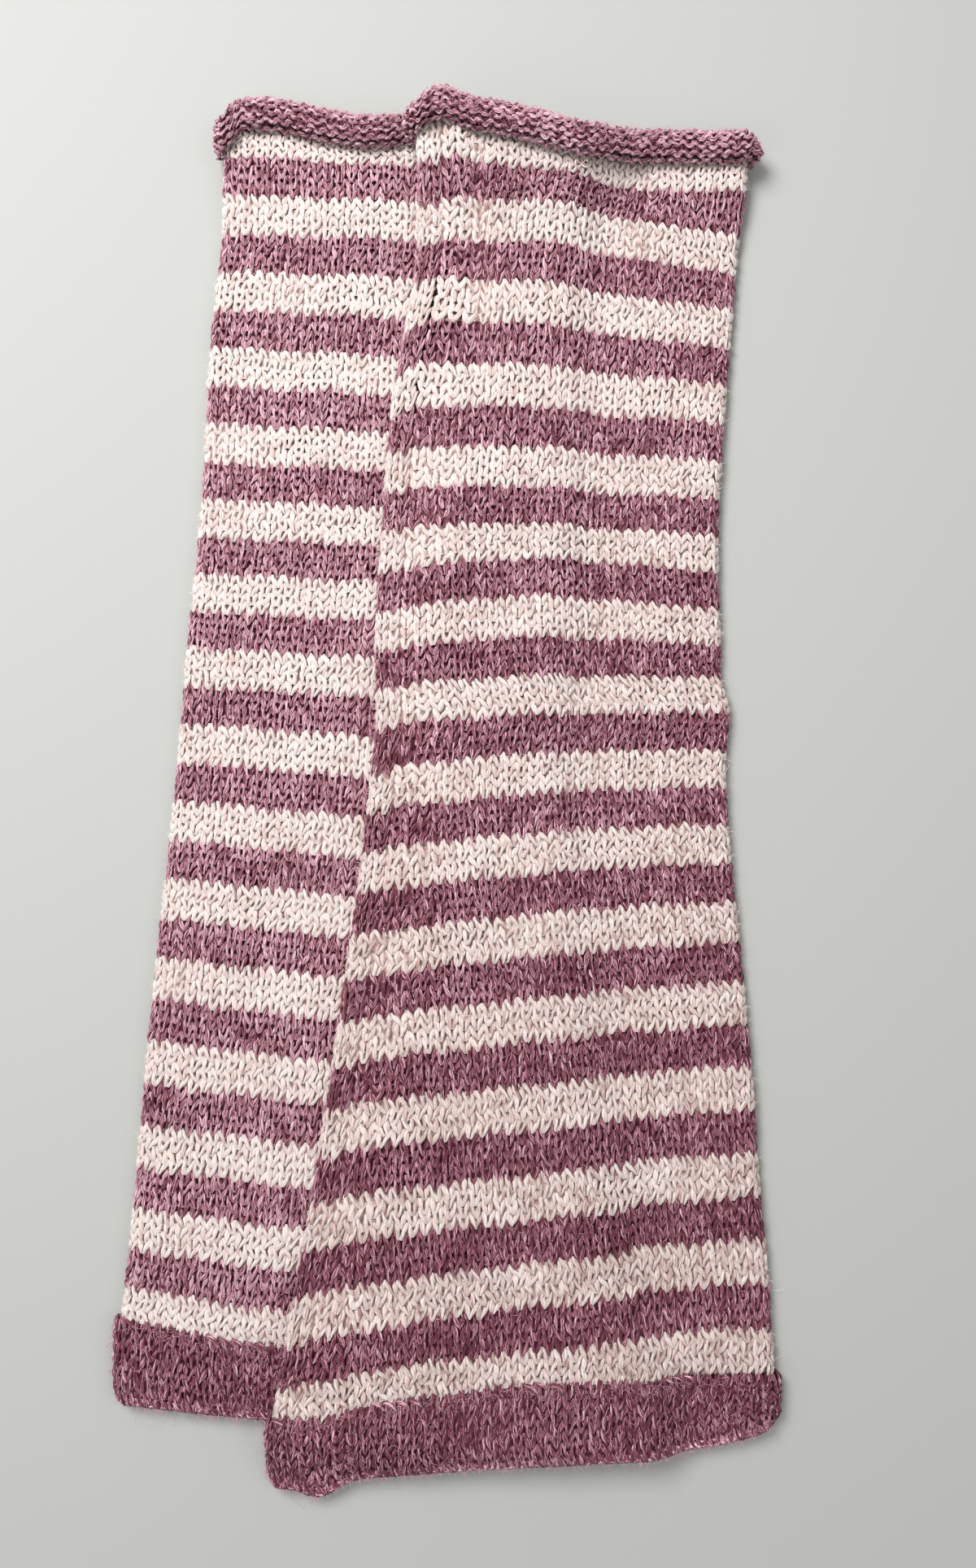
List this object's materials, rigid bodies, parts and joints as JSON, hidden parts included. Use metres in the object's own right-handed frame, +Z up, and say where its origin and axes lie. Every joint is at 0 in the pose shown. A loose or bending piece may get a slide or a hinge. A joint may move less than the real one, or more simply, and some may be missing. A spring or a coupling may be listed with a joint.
{
  "type": "pair of long fingerless mitts",
  "caption": "Pair of long hand-knitted fingerless mitts in narrow rose and cream stripes, laid flat with one partly over the other.",
  "frame": {"origin": "on the surface that the pair lies on, under the middle of its bounding box", "axes": "+Y along the mitts towards their hand ends, +X towards the upper mitt's outer side, +Z up from the surface"},
  "size_m": [0.189, 0.405, 0.0222],
  "materials": {
    "pale_knit": "plump matt wool in cream pink, knitted in stocking stitch",
    "rose_knit": "softly hairy matt wool in heathered dusty rose, knitted in stocking stitch"
  },
  "bodies": {
    "root": {"lower_mitt_body": "pale_knit", "lower_mitt_arm_hem": "rose_knit", "lower_mitt_hand_roll": "rose_knit", "upper_mitt_body": "pale_knit", "upper_mitt_arm_hem": "rose_knit", "upper_mitt_hand_roll": "rose_knit"}
  },
  "joints": []
}
